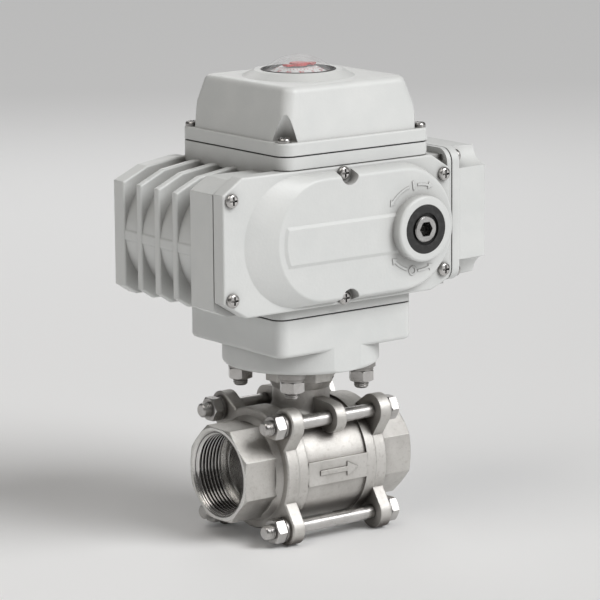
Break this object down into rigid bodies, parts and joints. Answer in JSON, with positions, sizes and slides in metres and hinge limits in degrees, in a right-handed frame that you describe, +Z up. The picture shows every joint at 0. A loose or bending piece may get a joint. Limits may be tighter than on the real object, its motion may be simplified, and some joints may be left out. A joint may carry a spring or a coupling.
{
  "type": "motorized valve actuator",
  "caption": "Electric quarter-turn actuator with finned motor case, hand drive socket and dome position indicator, on a three-piece threaded ball valve.",
  "frame": {"origin": "centre of the ball, where the pipe axis crosses the stem axis", "axes": "+X along the pipe away from the finned motor end, -Y out of the front gear cover, +Z up the stem to the indicator"},
  "size_m": [0.189, 0.1373, 0.2738],
  "materials": {
    "powder_coat": "fine orange-peel powder coat, warm light grey",
    "cast_stainless": "bead-blasted investment casting",
    "polished_stainless": "ground and polished",
    "fastener_steel": "bright stainless fasteners",
    "spring_steel": "satin spring steel",
    "ptfe": "white filled seat material",
    "black_rubber": "moulded black rubber",
    "clear_window": "clear moulded dome",
    "dial_white": "printed dial",
    "pointer_red": "moulded pointer",
    "gear_steel": "machined steel",
    "bearing_steel": "ground bearing steel",
    "bronze": "machined bronze",
    "bare_aluminium": "milled aluminium",
    "black_plastic": "moulded black plastic",
    "motor_case": "dark painted motor case",
    "nickel_brass": "nickel-plated brass"
  },
  "bodies": {
    "root": {"valve_body": "cast_stainless", "end_cap_left": "cast_stainless", "end_cap_right": "cast_stainless", "ball_seats": "ptfe", "body_seals": "ptfe", "stem_thrust_washer": "ptfe", "stem_packing": "ptfe", "packing_gland": "polished_stainless", "tie_bolts": "fastener_steel", "m8_nuts": "fastener_steel", "m8_washers": "spring_steel", "base_housing": "powder_coat", "base_gasket": "black_rubber", "base_screws": "fastener_steel", "base_studs": "fastener_steel", "pad_screws": "fastener_steel", "main_housing": "powder_coat", "front_cover": "powder_coat", "front_cover_gasket": "black_rubber", "front_cover_screws": "fastener_steel", "side_cover": "powder_coat", "side_cover_gasket": "black_rubber", "side_cover_screws": "fastener_steel", "top_cover": "powder_coat", "top_cover_gasket": "black_rubber", "top_cover_screws": "fastener_steel", "indicator_window": "clear_window", "window_seal": "black_rubber", "window_retainer": "bare_aluminium", "indicator_dial": "dial_white", "output_bushes": "bronze", "inner_screws": "fastener_steel", "switch_bracket": "bare_aluminium", "mid_plate": "bare_aluminium", "microswitches": "black_plastic", "terminal_block": "black_plastic", "worm_bearing_outer": "bearing_steel", "shaft_seal": "black_rubber", "worm_rear_bush": "bronze", "idler_pins": "gear_steel", "motor": "motor_case", "cable_gland_bodies": "nickel_brass", "cable_gland_seals": "black_rubber", "cable_gland_nuts": "nickel_brass"},
    "output_train": {"ball": "polished_stainless", "valve_stem": "polished_stainless", "disc_springs": "spring_steel", "stem_nut": "fastener_steel", "output_shaft": "gear_steel", "wheel_key": "gear_steel", "worm_wheel": "bronze", "limit_cams": "black_plastic", "indicator_pointer": "pointer_red"},
    "worm_train": {"worm_shaft": "gear_steel", "worm_bearing_inner": "bearing_steel", "worm_spur_gear": "gear_steel"},
    "bearing_ball_set": {"worm_bearing_balls": "bearing_steel"},
    "first_idler": {"idler_gear_first": "gear_steel"},
    "second_idler": {"idler_gear_second": "gear_steel"},
    "motor_output": {"motor_pinion": "gear_steel"}
  },
  "joints": [
    {"name": "hand_drive", "type": "hinge", "parent": "root", "child": "worm_train", "pos_m": [0.0405, 0, 0.1383], "axis": [0, 1, 0], "range_deg": [0, 3600]},
    {"name": "valve_turn", "type": "hinge", "parent": "root", "child": "output_train", "pos_m": [0, 0, 0.1383], "axis": [0, 0, -1], "range_deg": [0, 90]},
    {"name": "second_idler_spin", "type": "hinge", "parent": "root", "child": "second_idler", "pos_m": [-0.0005, 0, 0.1383], "axis": [0, 1, 0], "range_deg": [-5083, 0]},
    {"name": "first_idler_spin", "type": "hinge", "parent": "root", "child": "first_idler", "pos_m": [-0.0355, 0, 0.1383], "axis": [0, 1, 0], "range_deg": [0, 4801]},
    {"name": "motor_spin", "type": "hinge", "parent": "root", "child": "motor_output", "pos_m": [-0.0615, 0, 0.1383], "axis": [0, 1, 0], "range_deg": [-10801, 0]},
    {"name": "bearing_ball_orbit", "type": "hinge", "parent": "root", "child": "bearing_ball_set", "pos_m": [0.0405, 0, 0.1383], "axis": [0, 1, 0], "range_deg": [0, 1449]}
  ],
  "couplings": [
    {"joint": "valve_turn", "follows": "hand_drive", "ratio": 0.025},
    {"joint": "second_idler_spin", "follows": "hand_drive", "ratio": -1.4118},
    {"joint": "first_idler_spin", "follows": "hand_drive", "ratio": 1.3333},
    {"joint": "motor_spin", "follows": "hand_drive", "ratio": -3},
    {"joint": "bearing_ball_orbit", "follows": "hand_drive", "ratio": 0.402}
  ]
}
